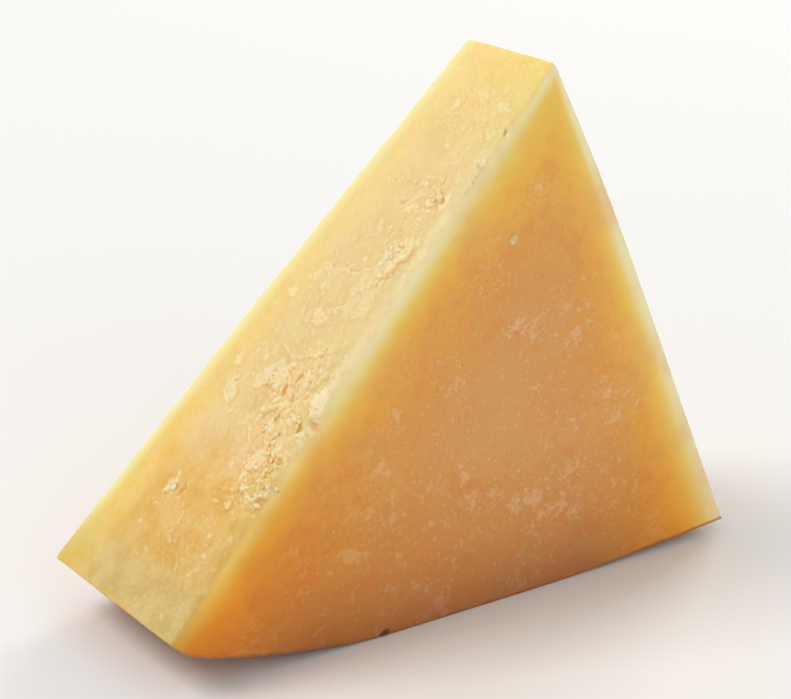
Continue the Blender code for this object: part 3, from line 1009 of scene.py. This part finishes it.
shell = bmesh.new()
bmesh.ops.create_icosphere(shell, subdivisions=3, radius=1.0)
foot, _, _, _ = surface.ray_cast(
    Vector((HEEL.x + FLECK_AT[0] * MM, FRONT - 3 * MM, FLECK_AT[1] * MM)), Vector((0.0, 1.0, 0.0))
)
for vertex in shell.verts:
    ragged = 1.0 + 0.45 * noise.fractal(vertex.co * 1.6, 0.8, 2.0, 3)
    along, height = vertex.co.x * FLECK_HALF.x, vertex.co.z * FLECK_HALF.y
    proud = vertex.co.y * FLECK_HALF.z
    vertex.co = foot + Vector((along, proud, height + 0.18 * along)) * ragged * MM
fleck_mesh = bpy.data.meshes.new("dark_fleck")
shell.to_mesh(fleck_mesh)
shell.free()
fleck_mesh.shade_smooth()


def fleck_material():
    """Dark brown, with redder patches and a dry, rough face."""
    made = bpy.data.materials.new("dark chip")
    made.use_nodes = True
    tree = made.node_tree
    shader = tree.nodes["Principled BSDF"]
    place = add(tree, "TexCoord").outputs["Object"]
    cloud = add(tree, "TexNoise", {"Vector": place, "Scale": 2200.0, "Detail": 3.0}).outputs[0]
    colour = blended(tree, stepped(tree, cloud, 0.42, 0.66), paint(62, 28, 18), paint(150, 82, 40))
    tree.links.new(colour, shader.inputs["Base Color"])
    tree.links.new(worked(tree, "MULTIPLY_ADD", cloud, 0.3, 0.45), shader.inputs["Roughness"])
    bump = add(tree, "Bump", {"Height": cloud, "Strength": 0.6, "Distance": 0.15 * MM})
    tree.links.new(bump.outputs[0], shader.inputs["Normal"])
    return made


fleck_mesh.materials.append(fleck_material())
dark_fleck = bpy.data.objects.new("dark_fleck", fleck_mesh)
bpy.context.scene.collection.objects.link(dark_fleck)
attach(dark_fleck, "root")

# ---------------------------------------------------------------------------------------------------
# The studio: a plain pale floor under soft white light, and a long lens looking down on the chunk.
# The main light stands high on the left and behind, so it falls on the break.
# ---------------------------------------------------------------------------------------------------
floor_mesh = bpy.data.meshes.new("floor")
floor_mesh.from_pydata([(-3, -3, 0), (3, -3, 0), (3, 3, 0), (-3, 3, 0)], [], [(0, 1, 2, 3)])
floor_paint = bpy.data.materials.new("pale floor")
floor_paint.use_nodes = True
floor_paint.node_tree.nodes["Principled BSDF"].inputs["Base Color"].default_value = (0.86, 0.86, 0.85, 1.0)
floor_paint.node_tree.nodes["Principled BSDF"].inputs["Roughness"].default_value = 0.9
floor_mesh.materials.append(floor_paint)
floor = bpy.data.objects.new("floor", floor_mesh)
bpy.context.scene.collection.objects.link(floor)


def soft_light(name, place, size, power, colour):
    """A square soft light at a place, turned towards the chunk."""
    lamp = bpy.data.lights.new(name, "AREA")
    lamp.size = size
    lamp.energy = power
    lamp.color = colour
    holder = bpy.data.objects.new(name, lamp)
    holder.location = place
    holder.rotation_euler = (Vector((0.0, 0.0, 0.04)) - Vector(place)).to_track_quat("-Z", "Y").to_euler()
    bpy.context.scene.collection.objects.link(holder)


soft_light("key", (-0.75, 0.35, 1.05), 0.6, 8.0, (1.0, 0.98, 0.95))
soft_light("rim", (0.85, 0.55, 0.45), 0.5, 5.0, (1.0, 0.97, 0.92))
soft_light("fill", (-0.1, -1.1, 0.55), 0.8, 2.5, (1.0, 1.0, 1.0))

sky = bpy.data.worlds.new("studio air")
sky.use_nodes = True
sky.node_tree.nodes["Background"].inputs["Color"].default_value = (1.0, 1.0, 1.0, 1.0)
sky.node_tree.nodes["Background"].inputs["Strength"].default_value = 0.5
bpy.context.scene.world = sky
bpy.context.scene.view_settings.view_transform = "Standard"

lens = bpy.data.cameras.new("camera")
lens.lens = 182.05
lens.sensor_width = 36.0
camera = bpy.data.objects.new("camera", lens)
camera_right = Vector((0.82457, -0.56576, 0.0))
camera_up = Vector((0.22272, 0.32462, 0.91925))
camera_back = Vector((-0.52007, -0.75799, 0.39368))
turned = Matrix((camera_right, camera_up, camera_back)).transposed().to_4x4()
camera.matrix_world = Matrix.Translation(Vector((-347.21, -506.90, 304.21)) * MM) @ turned
bpy.context.scene.collection.objects.link(camera)
bpy.context.scene.camera = camera
